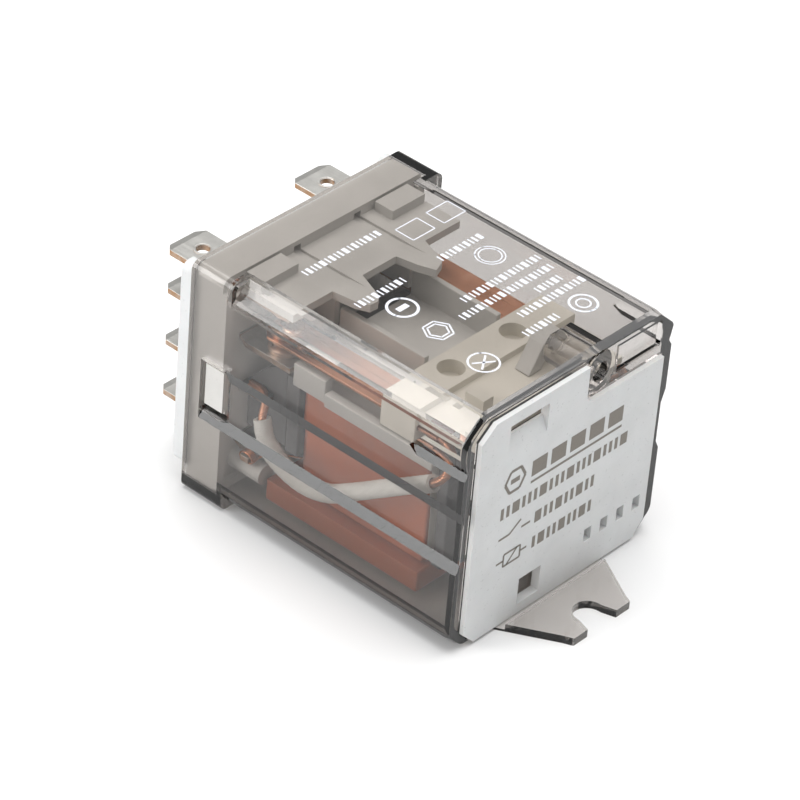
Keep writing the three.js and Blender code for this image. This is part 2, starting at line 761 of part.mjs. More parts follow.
function leadPath(s) {
  return [
    [s * 13.0, 38.6, 16.98],
    [s * 13.1, 36.4, 17.0],
    [s * 14.3, 35.1, 16.5],
    [s * 15.2, 34.7, 14.6],
    [s * 15.5, 33.6, 12.2],
    [s * 15.5, 31.0, 10.3],
    [s * 15.5, 27.0, 9.3],
    [s * 15.5, 23.2, 10.0],
    [s * 15.5, 19.4, 12.2],
    [s * 15.5, 15.0, 15.2],
    [s * 15.5, 10.4, 18.4],
    [s * 15.5, 6.6, 21.0],
    [s * 15.3, 5.0, 22.9],
    [s * 14.0, 5.3, 24.3],
    [s * 12.4, 7.2, 24.45],
    [s * 11.4, 10.9, 24.45],
  ];
}

for (const [name, x, z, innerY, drop, hole] of TERMINALS) {
  piece(name, terminalSolid(x, z, innerY, drop, hole), tinned);
}
piece("cover", coverSolid(), smoked);
piece("label_plate", labelSolid(), whitePlastic);
piece("base", baseSolid(), greyPlastic);
piece("back_plate", backPlateSolid(), whitePlastic);
piece("yoke", yokeSolid(), steel);
piece("core", coreSolid(), steel);
piece("shading_ring", shadingRingSolid(), copper);
piece("bobbin", bobbinSolid(), beigePlastic);
piece("coil_foot", footSolid(), orangePlastic);
piece("rear_block", rearBlockSolid(), darkPlastic);
piece("winding", frameY(10.9, 7.0, 5.2, 5.15, COIL_Y[0] + 1.1, COIL_Y[1] - 1.1), enamel);
piece("coil_tape", frameY(...COIL_HALF, 11.7, 7.45, ...COIL_Y), orangeTape);
piece("insulating_channel", channelSolid(), greyPlastic);
piece("armature", armatureSolid(), steel);
piece("carrier", carrierSolid(), beigePlastic);
piece("position_flag", flagSolid(), greyPlastic);
piece("armature_spring", springSolid(), steel);

for (const s of [-1, 1]) {
  const side = s < 0 ? "left" : "right";
  const x = s * POLE_X;
  piece(`moving_blade_${side}`, bladeSolid(x), copper);
  piece(`moving_contact_${side}`, movingContact(x), silver);
  piece(`contact_nc_${side}`, fixedContact(x, TAB_Z.nc + TAB_T / 2 - 0.8, 1), silver);
  piece(`contact_no_${side}`, fixedContact(x, TAB_Z.no - TAB_T / 2, -1), silver);
  const path = leadPath(s);
  piece(`lead_wire_${side}`, along(path, 0.55, 0, 44, 5), copper);
  piece(`lead_sheath_${side}`, along(path.slice(3, 12), 1.12, 0.72, 32, 8), sheath);
  const coilWire = [
    [s * 9.6, 30.65, 7.6],
    [s * 10.3, 31.6, 7.7],
    [s * 11.6, 33.3, 7.9],
    [s * 13.4, 35.2, 8.15],
    [s * 14.6, 37.2, 8.15],
  ];
  piece(`coil_lead_${side}`, along(coilWire, 0.3, 0, 14, 4), enamel);
}

export default root;
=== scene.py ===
# Looks for a two pole plug-in relay in a smoked cover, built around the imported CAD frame. Metres.
import json
import math

import bmesh
import bpy
from mathutils import Matrix, Vector

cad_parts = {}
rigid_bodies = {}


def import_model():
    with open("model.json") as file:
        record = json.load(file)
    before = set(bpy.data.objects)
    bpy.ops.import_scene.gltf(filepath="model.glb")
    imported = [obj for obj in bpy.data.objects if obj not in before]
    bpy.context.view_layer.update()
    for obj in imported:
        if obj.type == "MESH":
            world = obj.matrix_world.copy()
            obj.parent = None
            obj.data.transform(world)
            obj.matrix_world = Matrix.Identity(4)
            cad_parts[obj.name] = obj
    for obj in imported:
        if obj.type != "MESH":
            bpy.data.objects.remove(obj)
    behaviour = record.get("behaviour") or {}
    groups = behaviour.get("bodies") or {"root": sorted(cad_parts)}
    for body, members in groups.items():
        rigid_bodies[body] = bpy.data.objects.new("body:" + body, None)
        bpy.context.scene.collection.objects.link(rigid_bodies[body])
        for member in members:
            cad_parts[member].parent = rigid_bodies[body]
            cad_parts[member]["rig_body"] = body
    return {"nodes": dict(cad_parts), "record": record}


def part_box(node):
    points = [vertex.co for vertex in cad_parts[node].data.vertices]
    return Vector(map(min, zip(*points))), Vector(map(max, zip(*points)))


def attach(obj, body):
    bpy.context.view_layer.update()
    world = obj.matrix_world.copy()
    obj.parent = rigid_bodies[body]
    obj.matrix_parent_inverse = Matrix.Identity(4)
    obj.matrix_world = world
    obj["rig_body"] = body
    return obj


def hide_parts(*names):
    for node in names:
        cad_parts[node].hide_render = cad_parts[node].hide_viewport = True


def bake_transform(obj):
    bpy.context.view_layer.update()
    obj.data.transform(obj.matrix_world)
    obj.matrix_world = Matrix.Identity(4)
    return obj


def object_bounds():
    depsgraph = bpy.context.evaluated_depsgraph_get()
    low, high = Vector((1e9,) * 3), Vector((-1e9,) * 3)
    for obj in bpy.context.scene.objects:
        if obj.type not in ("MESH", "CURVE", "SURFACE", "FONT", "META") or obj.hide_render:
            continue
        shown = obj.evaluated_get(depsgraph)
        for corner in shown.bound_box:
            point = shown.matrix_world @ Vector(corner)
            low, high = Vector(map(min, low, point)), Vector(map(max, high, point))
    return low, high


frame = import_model()
cad_low, cad_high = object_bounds()
NODES = frame["nodes"]
BODY_OF = {n: o["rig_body"] for n, o in NODES.items()}
SLOT_OF = {s["node"]: s["material_slot"] for s in frame["record"]["subparts"]}
MM = 0.001


# ---- materials ----
class Shader:
    """A small builder for one node material."""

    def __init__(self, name):
        self.mat = bpy.data.materials.new(name)
        self.mat.use_nodes = True
        self.tree = self.mat.node_tree
        self.tree.nodes.clear()
        self.out = self.node("ShaderNodeOutputMaterial")
        self.coord = self.node("ShaderNodeTexCoord").outputs["Object"]
        self.bsdf = self.node("ShaderNodeBsdfPrincipled")
        self.link(self.bsdf.outputs[0], self.out.inputs["Surface"])

    def node(self, kind, **settings):
        made = self.tree.nodes.new(kind)
        for key, value in settings.items():
            setattr(made, key, value)
        return made

    def link(self, a, b):
        self.tree.links.new(a, b)

    def scaled(self, scale):
        mapping = self.node("ShaderNodeMapping")
        mapping.inputs["Scale"].default_value = scale
        self.link(self.coord, mapping.inputs["Vector"])
        return mapping.outputs[0]

    def noise(self, scale, detail=4.0, rough=0.6, vector=None):
        made = self.node("ShaderNodeTexNoise")
        made.inputs["Scale"].default_value = scale
        made.inputs["Detail"].default_value = detail
        made.inputs["Roughness"].default_value = rough
        self.link(vector or self.coord, made.inputs["Vector"])
        return made.outputs["Fac"]

    def ramp(self, fac, stops):
        made = self.node("ShaderNodeValToRGB")
        ramp = made.color_ramp
        while len(ramp.elements) < len(stops):
            ramp.elements.new(0.5)
        for element, (at, colour) in zip(ramp.elements, stops):
            element.position = at
            element.color = (*colour, 1)
        self.link(fac, made.inputs["Fac"])
        return made.outputs["Color"]

    def maths(self, operation, a, b=None, clamp=False):
        made = self.node("ShaderNodeMath", operation=operation, use_clamp=clamp)
        for socket, value in zip(made.inputs, (a, b)):
            if value is None:
                continue
            if isinstance(value, (int, float)):
                socket.default_value = value
            else:
                self.link(value, socket)
        return made.outputs[0]

    def spread(self, fac, low, high):
        made = self.node("ShaderNodeMapRange")
        made.inputs["From Min"].default_value = 0.3
        made.inputs["From Max"].default_value = 0.7
        made.inputs["To Min"].default_value = low
        made.inputs["To Max"].default_value = high
        self.link(fac, made.inputs["Value"])
        return made.outputs["Result"]

    def mix(self, fac, a, b):
        made = self.node("ShaderNodeMix", data_type="RGBA")
        if isinstance(fac, (int, float)):
            made.inputs["Factor"].default_value = fac
        else:
            self.link(fac, made.inputs["Factor"])
        for socket, value in ((made.inputs["A"], a), (made.inputs["B"], b)):
            if isinstance(value, tuple):
                socket.default_value = (*value, 1)
            else:
                self.link(value, socket)
        return made.outputs["Result"]

    def bump(self, height, strength, distance):
        made = self.node("ShaderNodeBump")
        made.inputs["Strength"].default_value = strength
        made.inputs["Distance"].default_value = distance
        self.link(height, made.inputs["Height"])
        self.link(made.outputs[0], self.bsdf.inputs["Normal"])

    def set(self, **values):
        for key, value in values.items():
            self.bsdf.inputs[key.replace("_", " ")].default_value = value


def tone(colour, factor):
    return tuple(min(1.0, c * factor) for c in colour)


def moulding(name, colour, rough=0.5, grain=0.5, subsurface=0.0):
    """Moulded thermoplastic with a fine spark-eroded grain and faint flow marks."""
    s = Shader(name)
    cloud = s.noise(160, 5)
    speck = s.noise(5200, 2, vector=s.scaled((1, 1, 1.15)))
    base = s.ramp(cloud, [(0.3, tone(colour, 0.93)), (0.55, colour), (0.75, tone(colour, 1.05))])
    dust = s.ramp(s.noise(2600, 1), [(0.69, (0, 0, 0)), (0.76, (1, 1, 1))])
    s.link(s.mix(dust, base, tone(colour, 0.8)), s.bsdf.inputs["Base Color"])
    s.link(s.spread(speck, rough - 0.07, rough + 0.09), s.bsdf.inputs["Roughness"])
    s.bump(speck, 0.16 * grain, 0.00006)
    s.set(IOR=1.53)
    if subsurface:
        s.set(Subsurface_Weight=subsurface, Subsurface_Scale=0.0012)
    return s.mat


def metal(name, colour, rough=0.32, streak=(14, 900, 900), tint=None, edge=None):
    """Rolled strip metal: long brushed streaks, cloudy tarnish and, on cut edges, the parent metal."""
    s = Shader(name)
    lines = s.noise(3.0, 6, 0.7, vector=s.scaled(streak))
    cloud = s.noise(420, 4)
    bright = tint or tone(colour, 1.08)
    body = s.ramp(cloud, [(0.3, tone(colour, 0.82)), (0.6, colour), (0.8, bright)])
    body = s.mix(s.spread(lines, 0.0, 0.35), body, tone(colour, 0.66))
    if edge:
        normal = s.node("ShaderNodeNewGeometry").outputs["Normal"]
        split = s.node("ShaderNodeSeparateXYZ")
        s.link(normal, split.inputs[0])
        upright = s.maths("ABSOLUTE", split.outputs["Z"])
        cut = s.maths("LESS_THAN", upright, 0.35)
        cut = s.maths("MULTIPLY", cut, s.spread(s.noise(900, 3), 0.45, 1.0), clamp=True)
        body = s.mix(cut, body, edge)
    s.link(body, s.bsdf.inputs["Base Color"])
    s.link(s.spread(lines, rough - 0.08, rough + 0.16), s.bsdf.inputs["Roughness"])
    s.bump(lines, 0.12, 0.00004)
    s.set(Metallic=1.0)
    return s.mat


def smoked_clear(name, tint):
    """Smoked polycarbonate: it darkens with its own thickness, and lets lamp light into the box."""
    s = Shader(name)
    s.set(Base_Color=(*tint, 1), IOR=1.5, Roughness=0.02)
    s.bsdf.inputs["Transmission Weight"].default_value = 1.0
    path = s.node("ShaderNodeLightPath")
    lamp = s.maths("MAXIMUM", path.outputs["Is Shadow Ray"], path.outputs["Is Diffuse Ray"])
    through = s.node("ShaderNodeBsdfTransparent")
    through.inputs["Color"].default_value = (0.97, 0.96, 0.95, 1)
    mixed = s.node("ShaderNodeMixShader")
    s.link(lamp, mixed.inputs[0])
    s.link(s.bsdf.outputs[0], mixed.inputs[1])
    s.link(through.outputs[0], mixed.inputs[2])
    s.link(mixed.outputs[0], s.out.inputs["Surface"])
    body = s.node("ShaderNodeVolumeAbsorption")
    body.inputs["Color"].default_value = (0.20, 0.165, 0.14, 1)
    body.inputs["Density"].default_value = 185.0
    s.link(body.outputs[0], s.out.inputs["Volume"])
    wave = s.noise(90, 2)
    s.bump(wave, 0.05, 0.00025)
    return s.mat


def film_tape(name, colour):
    """Orange polyester film wound over the coil: faint wraps of wire below and a soft shine."""
    s = Shader(name)
    cloud = s.noise(210, 4)
    base = s.ramp(cloud, [(0.3, tone(colour, 0.84)), (0.55, colour), (0.78, tone(colour, 1.12))])
    band = s.node("ShaderNodeTexWave", wave_type="BANDS", bands_direction="Y")
    band.inputs["Scale"].default_value = 900
    band.inputs["Distortion"].default_value = 2.2
    band.inputs["Detail"].default_value = 2
    s.link(s.coord, band.inputs["Vector"])
    wraps = s.maths("MULTIPLY", band.outputs["Fac"], 0.16)
    s.link(s.mix(wraps, base, tone(colour, 0.7)), s.bsdf.inputs["Base Color"])
    s.link(s.spread(cloud, 0.34, 0.5), s.bsdf.inputs["Roughness"])
    s.bump(band.outputs["Fac"], 0.12, 0.00005)
    s.bsdf.inputs["Coat Weight"].default_value = 0.25
    s.bsdf.inputs["Coat Roughness"].default_value = 0.2
    return s.mat


def braid(name, colour):
    """Woven glass sleeve with a silicone coat."""
    s = Shader(name)
    parts = []
    for sign in (1, -1):
        wave = s.node("ShaderNodeTexWave", wave_type="BANDS", bands_direction="DIAGONAL")
        wave.inputs["Scale"].default_value = 1300
        wave.inputs["Distortion"].default_value = 1.2
        s.link(s.scaled((sign, 1, 1)), wave.inputs["Vector"])
        parts.append(wave.outputs["Fac"])
    weave = s.maths("MULTIPLY", *parts)
    cloud = s.noise(300, 3)
    base = s.ramp(cloud, [(0.3, tone(colour, 0.86)), (0.6, colour)])
    gaps = s.maths("MULTIPLY", weave, 0.2)
    s.link(s.mix(gaps, base, tone(colour, 0.72)), s.bsdf.inputs["Base Color"])
    s.link(s.spread(cloud, 0.45, 0.65), s.bsdf.inputs["Roughness"])
    s.bump(weave, 0.3, 0.00008)
    return s.mat


def ink(name, colour):
    """Pad or laser print, a little uneven."""
    s = Shader(name)
    wear = s.noise(3000, 3)
    s.link(s.ramp(wear, [(0.28, tone(colour, 0.82)), (0.5, colour)]), s.bsdf.inputs["Base Color"])
    s.link(s.spread(wear, 0.5, 0.7), s.bsdf.inputs["Roughness"])
    return s.mat


ALONG_Y = (900, 14, 900)  # brushed streaks that run from front to rear
MATERIALS = {
    "smoked_clear": smoked_clear("smoked_polycarbonate", (0.88, 0.865, 0.852)),
    "white_moulding": moulding("white_moulding", (0.63, 0.64, 0.64), 0.48, 0.5, 0.04),
    "grey_moulding": moulding("grey_moulding", (0.585, 0.575, 0.552), 0.5, 0.8),
    "beige_moulding": moulding("beige_moulding", (0.72, 0.69, 0.618), 0.5, 0.6),
    "orange_moulding": moulding("orange_moulding", (0.40, 0.10, 0.032), 0.48, 0.7),
    "charcoal_moulding": moulding("charcoal_moulding", (0.085, 0.085, 0.088), 0.5, 0.6),
    "orange_tape": film_tape("orange_tape", (0.43, 0.105, 0.03)),
    "tinned_brass": metal(
        "tinned_brass", (0.60, 0.59, 0.56), 0.36, (900, 12, 900), edge=(0.34, 0.17, 0.065)
    ),
    "copper": metal("copper_alloy", (0.62, 0.30, 0.18), 0.3, ALONG_Y, tint=(0.72, 0.40, 0.26)),
    "contact_silver": metal("silver_alloy", (0.72, 0.50, 0.38), 0.28, (300, 300, 300)),
    "steel": metal("plated_steel", (0.17, 0.172, 0.178), 0.36, (500, 16, 500)),
    "spring_steel": metal("spring_steel", (0.55, 0.54, 0.51), 0.28, ALONG_Y),
    "enamelled_wire": metal("enamelled_wire", (0.52, 0.20, 0.09), 0.3, (60, 2400, 60)),
    "grey_silicone": braid("grey_sleeve", (0.56, 0.55, 0.52)),
}
# painted shade: a darker tint of the smoked cover, put on its downward-facing steps and lower bevels
PAINTED_SHADE_CLEAR = smoked_clear("smoked_polycarbonate_painted_shade", (0.17, 0.155, 0.15))
LABEL_INK = ink("label_ink", (0.20, 0.18, 0.155))
COVER_INK = ink("cover_ink", (0.70, 0.72, 0.78))


# ---- mesh helpers ----
WELD = 2e-6  # seam vertices of one CAD corner
FLAT = math.radians(0.6)  # triangles within this angle make one face
MANY_OPENINGS = ("back_plate", "label_plate")
SHADED_BELOW = 22 * MM  # painted shade goes on the grip channel steps, which are under this height
SHADED_BEYOND = 15 * MM  # and this far from the middle


def add(name, bm, body, material, slot=None, smooth=35):
    mesh = bpy.data.meshes.new(name)
    bm.to_mesh(mesh)
    bm.free()
    obj = bpy.data.objects.new(name, mesh)
    bpy.context.scene.collection.objects.link(obj)
    mesh.materials.append(material)
    mesh.shade_smooth()
    mesh.set_sharp_from_angle(angle=math.radians(smooth))
    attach(obj, body)
    return obj


def welded(node):
    """The node's mesh as clean flat faces: seams closed and coplanar triangles joined."""
    bm = bmesh.new()
    bm.from_mesh(NODES[node].data)
    bmesh.ops.remove_doubles(bm, verts=bm.verts, dist=WELD)
    if node not in MANY_OPENINGS:
        bmesh.ops.dissolve_limit(bm, angle_limit=FLAT, verts=bm.verts, edges=bm.edges)
    for layer in list(bm.loops.layers.uv):
        bm.loops.layers.uv.remove(layer)
    return bm


def shade_undersides(obj):
    """Paints shade on the cover's grip steps and lower bevels: faces that turn away from the light get a
    darker copy of the smoked material.
    """
    obj.data.materials.append(PAINTED_SHADE_CLEAR)
    for face in obj.data.polygons:
        n = face.normal
        outward = n.z < -0.2 and abs(n.x) > 0.3 and n.x * face.center.x > 0
        if outward and face.center.z < SHADED_BELOW and abs(face.center.x) > SHADED_BEYOND:
            face.material_index = 1


def refine(node, bevel, segments=2, angle=28, smooth=35):
    """A finished piece for a CAD node: same solid, with its edges rounded."""
    slot = SLOT_OF[node]
    bm = welded(node)
    obj = add(node + "_part", bm, BODY_OF[node], MATERIALS[slot], slot, smooth)
    if node == "cover":
        shade_undersides(obj)
    if bevel:
        mod = obj.modifiers.new("edges", "BEVEL")
        mod.width = bevel * MM
        mod.segments = segments
        mod.limit_method = "ANGLE"
        mod.angle_limit = math.radians(angle)
        mod.miter_outer = "MITER_ARC"
        normals = obj.modifiers.new("normals", "WEIGHTED_NORMAL")
        normals.keep_sharp = True
    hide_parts(node)
    return obj


# ---- refined CAD pieces ----
# widths of the rounded edges in millimetres; nodes that are not listed keep theirs sharp
EDGE = {
    "cover": 0.09, "label_plate": 0.12, "base": 0.14, "back_plate": 0.1, "yoke": 0.12, "core": 0.1,
    "shading_ring": 0.08, "bobbin": 0.15, "coil_foot": 0.22, "coil_tape": 0.7,
    "insulating_channel": 0.12, "carrier": 0.18, "armature": 0.18, "winding": 0.3,
    "rear_block": 0.15, "position_flag": 0.12, "terminal": 0.07, "moving_blade": 0.04,
}
OWN_TUBES = ("lead_sheath", "lead_wire", "coil_lead")  # swept again further down


def edge_of(node):
    family = next((f for f in ("terminal", "moving_blade") if node.startswith(f)), node)
    return EDGE.get(family, 0)


for node in NODES:
    if node.startswith(OWN_TUBES):
        continue
    if node == "cover":
        refine(node, edge_of(node), segments=3, angle=14, smooth=16)
    elif node == "coil_tape":
        refine(node, edge_of(node), segments=3)
    else:
        refine(node, edge_of(node))


def bend(obj):
    """Takes a flexible piece off its rigid body and bakes its placement into its mesh."""
    obj.parent = None
    del obj["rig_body"]
    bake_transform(obj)


bend(bpy.data.objects["armature_spring_part"])

# pressed rings round the holes of the blade terminals
TAB_X = 11.1
TAB_TOP = {"no": 29.7, "nc": 24.0, "common": 16.25, "coil": 8.6}  # height of each blade's upper face
HOLE_Y = 50.1
RING_SECTION = ((1.0, -0.05), (1.0, 0.05), (1.12, 0.085), (1.27, 0.05), (1.27, -0.05))
RING_SIDES = 32
for node in [n for n in NODES if n.startswith("terminal_")]:
    x = math.copysign(TAB_X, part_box(node)[0].x)
    z = TAB_TOP[node.split("_")[1]]
    bm = bmesh.new()
    ring = []
    for k in range(RING_SIDES):
        a = 2 * math.pi * k / RING_SIDES
        section = [(x + math.cos(a) * r, HOLE_Y + math.sin(a) * r, z + h) for r, h in RING_SECTION]
        ring.append([bm.verts.new(Vector(p) * MM) for p in section])
    for ra, rb in zip(ring, ring[1:] + ring[:1]):
        for k in range(len(RING_SECTION)):
            j = (k + 1) % len(RING_SECTION)
            bm.faces.new((ra[k], ra[j], rb[j], rb[k]))
    bmesh.ops.recalc_face_normals(bm, faces=bm.faces)
    add(node + "_ring", bm, BODY_OF[node], MATERIALS["tinned_brass"], "tinned_brass", 60)


# ---- leads ----
def spline_points(path, count):
    """Points at even spacing on the centripetal curve through path, as the CAD solid follows."""
    pts = [Vector(p) * MM for p in path]
    pts = [pts[0] * 2 - pts[1], *pts, pts[-1] * 2 - pts[-2]]
    dense = []
    for i in range(1, len(pts) - 2):
        p0, p1, p2, p3 = pts[i - 1 : i + 3]
        t0 = 0.0
        t1 = t0 + max((p1 - p0).length, 1e-9) ** 0.5
        t2 = t1 + max((p2 - p1).length, 1e-9) ** 0.5
        t3 = t2 + max((p3 - p2).length, 1e-9) ** 0.5
        for k in range(24):
            t = t1 + (t2 - t1) * k / 24
            a1 = p0 * ((t1 - t) / (t1 - t0)) + p1 * ((t - t0) / (t1 - t0))
            a2 = p1 * ((t2 - t) / (t2 - t1)) + p2 * ((t - t1) / (t2 - t1))
            a3 = p2 * ((t3 - t) / (t3 - t2)) + p3 * ((t - t2) / (t3 - t2))
            b1 = a1 * ((t2 - t) / (t2 - t0)) + a2 * ((t - t0) / (t2 - t0))
            b2 = a2 * ((t3 - t) / (t3 - t1)) + a3 * ((t - t1) / (t3 - t1))
            dense.append(b1 * ((t2 - t) / (t2 - t1)) + b2 * ((t - t1) / (t2 - t1)))
    dense.append(pts[-2])
    total = [0.0]
    for a, b in zip(dense, dense[1:]):
        total.append(total[-1] + (b - a).length)
    out = []
    j = 0
    for k in range(count):
        want = total[-1] * k / (count - 1)
        while j < len(total) - 2 and total[j + 1] < want:
            j += 1
        span = max(total[j + 1] - total[j], 1e-12)
        out.append(dense[j].lerp(dense[j + 1], (want - total[j]) / span))
    return out


def frames_along(points):
    """Each point with two directions across the path, carried along it without twist."""
    side = (points[1] - points[0]).normalized().orthogonal().normalized()
    last = len(points) - 1
    for i, p in enumerate(points):
        t = (points[min(i + 1, last)] - points[max(i - 1, 0)]).normalized()
        side = (side - t * side.dot(t)).normalized()
        yield p, side.copy(), t.cross(side)


def sweep(bm, points, radius, sides, caps=True):
    """A tube along points; radius may be a function of 0..1."""
    rings = []
    for i, (p, side, up) in enumerate(frames_along(points)):
        r = radius(i / (len(points) - 1)) if callable(radius) else radius
        ring = []
        for k in range(sides):
            a = 2 * math.pi * k / sides
            ring.append(bm.verts.new(p + (side * math.cos(a) + up * math.sin(a)) * r))
        rings.append(ring)
    for ra, rb in zip(rings, rings[1:]):
        for k in range(sides):
            bm.faces.new((ra[k], ra[(k + 1) % sides], rb[(k + 1) % sides], rb[k]))
    if caps:
        bm.faces.new(list(reversed(rings[0])))
        bm.faces.new(rings[-1])
    return rings


def lead_path(s):
    return [
        (s * 13.0, 38.6, 16.98), (s * 13.1, 36.4, 17.0), (s * 14.3, 35.1, 16.5), (s * 15.2, 34.7, 14.6),
        (s * 15.5, 33.6, 12.2), (s * 15.5, 31.0, 10.3), (s * 15.5, 27.0, 9.3), (s * 15.5, 23.2, 10.0),
        (s * 15.5, 19.4, 12.2), (s * 15.5, 15.0, 15.2), (s * 15.5, 10.4, 18.4), (s * 15.5, 6.6, 21.0),
        (s * 15.3, 5.0, 22.9), (s * 14.0, 5.3, 24.3), (s * 12.4, 7.2, 24.45), (s * 11.4, 10.9, 24.45),
    ]


def strands(bm, points, bundle, strand, count, turns):
    """A rope of round strands laid in a helix about points."""
    frames = list(frames_along(points))
    for c in range(count):
        line = []
        for i, (p, u, v) in enumerate(frames):
            a = 2 * math.pi * (c / count + turns * i / (len(points) - 1))
            line.append(p + (u * math.cos(a) + v * math.sin(a)) * bundle)
        sweep(bm, line, strand, 6)
    sweep(bm, points, bundle, 6)


SLEEVE_SPAN = slice(3, 12)  # the part of the lead's route that wears the sleeve
SLEEVE_OUTER = 1.12
SLEEVE_INNER = 0.72
SLEEVE_SIDES = 24
COIL_WIRE_RADIUS = 0.14
PIN = {"x": 14.0, "y": 36.9, "z": 7.4, "reach": 0.95, "across": 1.08, "tall": 0.74}  # winding pin
WRAPS = 4
WRAP_STEPS = 24


def lead_wire(s, side):
    bm = bmesh.new()
    strands(bm, spline_points(lead_path(s), 260), bundle=0.34 * MM, strand=0.21 * MM, count=6, turns=22)
    wire = add(f"lead_strands_{side}", bm, "housing", MATERIALS["copper"], "copper", 60)
    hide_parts(f"lead_wire_{side}")
    return wire


def lead_sleeve(s, side):
    """A tube with a bore, its outside slightly rippled by the weave."""
    points = spline_points(lead_path(s)[SLEEVE_SPAN], 150)
    bm = bmesh.new()
    outer = sweep(bm, points, lambda t: (SLEEVE_OUTER + 0.02 * math.sin(t * 190)) * MM, SLEEVE_SIDES, False)
    inner = sweep(bm, points, SLEEVE_INNER * MM, SLEEVE_SIDES, False)
    for a, b in ((outer[0], inner[0]), (outer[-1], inner[-1])):
        for k in range(SLEEVE_SIDES):
            j = (k + 1) % SLEEVE_SIDES
            bm.faces.new((a[k], b[k], b[j], a[j]))
    bmesh.ops.recalc_face_normals(bm, faces=bm.faces)
    sleeve = add(f"lead_sleeve_{side}", bm, "housing", MATERIALS["grey_silicone"], "grey_silicone", 50)
    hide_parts(f"lead_sheath_{side}")
    return sleeve


def coil_wire(s, side):
    """The coil's wire, from the winding to a few turns round the pin of its terminal."""
    run = [(9.6, 30.65, 7.6), (10.3, 31.6, 7.7), (11.6, 33.3, 7.9), (13.2, 35.0, 8.2)]
    points = spline_points([(s * x, y, z) for x, y, z in run], 40)
    for k in range(WRAPS * WRAP_STEPS + 1):
        a = 2 * math.pi * k / WRAP_STEPS + math.pi
        x = s * (PIN["x"] + PIN["reach"] * k / (WRAPS * WRAP_STEPS))
        y = PIN["y"] + PIN["across"] * math.cos(a)
        z = PIN["z"] + PIN["tall"] * math.sin(a)
        points.append(Vector((x, y, z)) * MM)
    bm = bmesh.new()
    sweep(bm, points, COIL_WIRE_RADIUS * MM, 10)
    lead = add(f"coil_wire_{side}", bm, "housing", MATERIALS["enamelled_wire"], "enamelled_wire", 60)
    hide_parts(f"coil_lead_{side}")


for s, side in ((-1, "left"), (1, "right")):
    for obj in (lead_wire(s, side), lead_sleeve(s, side)):
        bend(obj)
    coil_wire(s, side)

# ---- print ----
LABEL_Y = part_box("label_plate")[0].y
TOP_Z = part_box("cover")[1].z
INK = 0.02 * MM


class Print:
    """Flat marks on one plane, collected as one mesh with a hair of thickness."""

    def __init__(self, place):
        self.bm = bmesh.new()
        self.place = place

    def loop(self, points):
        front = [self.bm.verts.new(self.place(a, b, INK)) for a, b in points]
        back = [self.bm.verts.new(self.place(a, b, INK * 0.2)) for a, b in points]
        self.bm.faces.new(front)
        self.bm.faces.new(list(reversed(back)))
        n = len(points)
        for i in range(n):
            j = (i + 1) % n
            self.bm.faces.new((front[i], back[i], back[j], front[j]))

    def bar(self, a, b, w, h):
        self.loop([(a, b), (a + w, b), (a + w, b + h), (a, b + h)])

    def line(self, a0, b0, a1, b1, t):
        d = Vector((a1 - a0, b1 - b0)).normalized() * (t / 2)
        nx, ny = -d.y, d.x
        self.loop([(a0 + nx, b0 + ny), (a0 - nx, b0 - ny), (a1 - nx, b1 - ny), (a1 + nx, b1 + ny)])

    def outline(self, points, t):
        for p, q in zip(points, points[1:] + points[:1]):
            self.line(*p, *q, t)

    def ring(self, a, b, r, t, sides=40):
        for k in range(sides):
            u = 2 * math.pi * k / sides
            v = 2 * math.pi * (k + 1) / sides
            self.loop([
                (a + math.cos(u) * (r - t / 2), b + math.sin(u) * (r - t / 2)),
                (a + math.cos(u) * (r + t / 2), b + math.sin(u) * (r + t / 2)),
                (a + math.cos(v) * (r + t / 2), b + math.sin(v) * (r + t / 2)),
                (a + math.cos(v) * (r - t / 2), b + math.sin(v) * (r - t / 2)),
            ])

    def dashes(self, a0, a1, b, h, sizes, gap):
        """A row of plain strokes between a0 and a1, in the widths of sizes over and over."""
        a = a0
        k = 0
        while a + sizes[k % len(sizes)] <= a1:
            w = sizes[k % len(sizes)]
            self.bar(a, b, w, h)
            a += w + gap
            k += 1

    def finish(self, name, material, node):
        bmesh.ops.remove_doubles(self.bm, verts=self.bm.verts, dist=1e-7)
        bmesh.ops.recalc_face_normals(self.bm, faces=self.bm.faces)
        return add(name, self.bm, BODY_OF[node], material, smooth=30)


def hexagon(a, b, r):
    corners = [2 * math.pi * k / 6 for k in range(6)]
    return [(a + r * math.cos(u), b + r * math.sin(u)) for u in corners]


def rectangle(a, b, w, h):
    return [(a, b), (a + w, b), (a + w, b + h), (a, b + h)]


# label plate: an emblem with blocks, then a row of strokes, a switch symbol and a coil symbol
label = Print(lambda x, z, h: Vector((x * MM, LABEL_Y - h, z * MM)))
label.outline(hexagon(-9.9, 22.3, 1.8), 0.42)
label.bar(-10.7, 21.95, 1.6, 0.7)
for k in range(5):
    label.bar(-6.9 + 3.5 * k, 21.2, 2.7, 2.3)
label.bar(-6.9, 20.2, 16.7, 0.35)
label.dashes(-12.0, 12.2, 17.2, 1.7, (0.55, 0.55, 1.3, 0.55), 0.5)
label.line(-11.9, 14.2, -10.0, 14.2, 0.3)
label.line(-10.0, 14.2, -8.0, 15.5, 0.3)
label.line(-7.8, 14.2, -6.2, 14.2, 0.3)
label.dashes(-5.4, 6.2, 13.5, 1.7, (1.2, 0.55, 0.55), 0.5)
label.line(-11.9, 10.5, -10.6, 10.5, 0.28)
label.outline(rectangle(-10.6, 9.6, 3.0, 1.8), 0.28)
label.line(-10.0, 9.6, -8.2, 11.4, 0.28)
label.line(-7.6, 10.5, -6.4, 10.5, 0.28)
label.dashes(-5.4, 6.2, 9.7, 1.7, (0.55, 1.2, 0.55), 0.5)
label.finish("label_print", LABEL_INK, "label_plate")

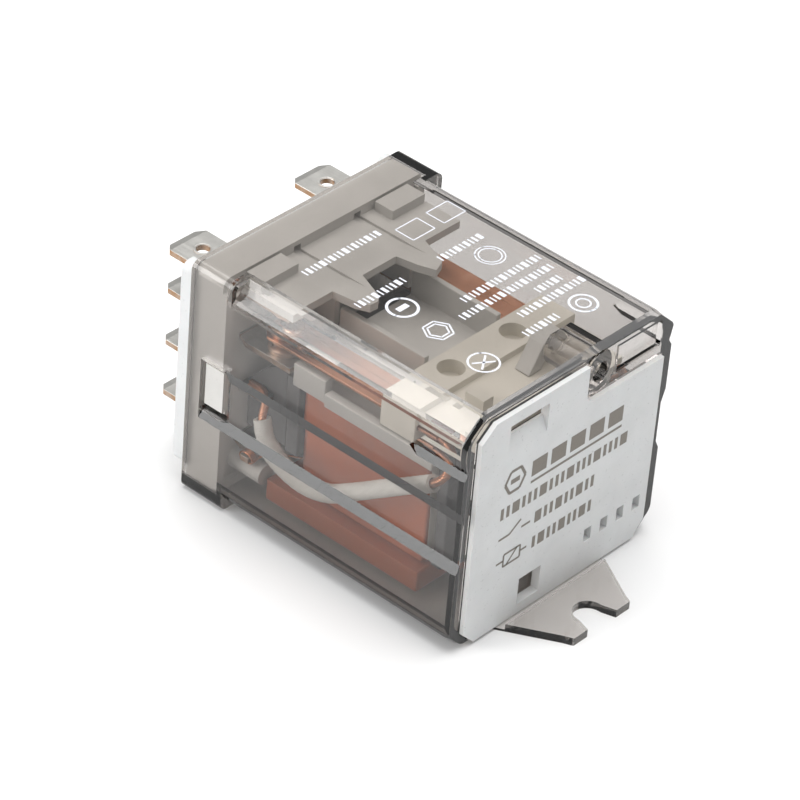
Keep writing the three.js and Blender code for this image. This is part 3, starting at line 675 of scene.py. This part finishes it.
# top of the cover: rows of strokes with round, hexagonal and square marks among them
top = Print(lambda x, y, h: Vector((x * MM, y * MM, TOP_Z + h)))
TOP_ROWS = (
    (-10.5, 2.7, 33.4), (-10.7, -2.3, 24.6), (4.0, 12.1, 24.6), (-0.4, 13.9, 16.9),
    (-3.2, 13.6, 14.6), (7.8, 12.2, 12.3), (2.4, 14.0, 10.3), (-0.1, 6.2, 7.3),
)
for start, end, y in TOP_ROWS:
    top.dashes(start, end, y, 1.15, (0.22, 0.5, 0.22, 0.34, 0.62), 0.42)
top.ring(10.0, 7.4, 1.75, 0.3)
top.ring(10.0, 7.4, 0.9, 0.22)
top.ring(-6.9, 21.3, 1.9, 0.36)
top.bar(-7.8, 20.9, 1.8, 0.8)
top.ring(-8.0, 7.4, 1.9, 0.26)
top.line(-9.2, 6.6, -6.8, 8.2, 0.26)
top.line(-9.2, 8.2, -6.8, 6.6, 0.26)
for r in (1.9, 1.35):
    top.outline(hexagon(-7.2, 15.3, r), 0.22)
for x0 in (4.6, 10.2):
    top.outline(rectangle(x0, 30.0, 3.9, 3.0), 0.16)
top.ring(9.2, 21.6, 1.9, 0.16)
top.ring(9.2, 21.6, 1.45, 0.16)
top.finish("cover_print", COVER_INK, "cover")

# ---- stage ----
floor_bm = bmesh.new()
bmesh.ops.create_grid(floor_bm, x_segments=1, y_segments=1, size=3.0)
floor_mesh = bpy.data.meshes.new("floor")
floor_bm.to_mesh(floor_mesh)
floor_bm.free()
floor = bpy.data.objects.new("floor", floor_mesh)
bpy.context.scene.collection.objects.link(floor)
floor.location = (0, 0, cad_low.z - 0.00005)
paper = Shader("floor_paper")
shades = paper.ramp(paper.noise(3, 2), [(0.3, (0.84, 0.84, 0.84)), (0.7, (0.86, 0.86, 0.86))])
paper.link(shades, paper.bsdf.inputs["Base Color"])
paper.set(Roughness=0.85)
floor.data.materials.append(paper.mat)


def area(name, place, aim, size, power):
    data = bpy.data.lights.new(name, "AREA")
    data.shape = "RECTANGLE"
    data.size, data.size_y = size
    data.energy = power
    obj = bpy.data.objects.new(name, data)
    bpy.context.scene.collection.objects.link(obj)
    obj.location = place
    obj.rotation_euler = (Vector(aim) - Vector(place)).to_track_quat("-Z", "Y").to_euler()


centre = (0.0, 0.02, 0.015)
area("top_box", (0.10, 0.05, 0.75), centre, (0.9, 0.9), 7.6)
area("key_box", (-0.60, 0.44, 0.36), centre, (0.34, 0.62), 3.9)

world = bpy.data.worlds.new("studio")
world.use_nodes = True
world.node_tree.nodes["Background"].inputs["Color"].default_value = (1, 1, 1, 1)
world.node_tree.nodes["Background"].inputs["Strength"].default_value = 0.44
bpy.context.scene.world = world
bpy.context.scene.view_settings.view_transform = "Standard"

# ---- camera ----
cam_data = bpy.data.cameras.new("camera")
cam_data.lens = 192.3
cam_data.sensor_width = 36
cam = bpy.data.objects.new("camera", cam_data)
bpy.context.scene.collection.objects.link(cam)
right = Vector((0.67346, -0.73594, 0.06966))
ahead = Vector((0.62214, 0.51337, -0.59109))
up = right.cross(ahead).normalized()
turn = Matrix((right, up, -ahead)).transposed()
cam.matrix_world = Matrix.Translation(Vector((-326.96, -243.65, 325.02)) * MM) @ turn.to_4x4()
cam_data.clip_start = 0.01
cam_data.clip_end = 20
bpy.context.scene.camera = cam
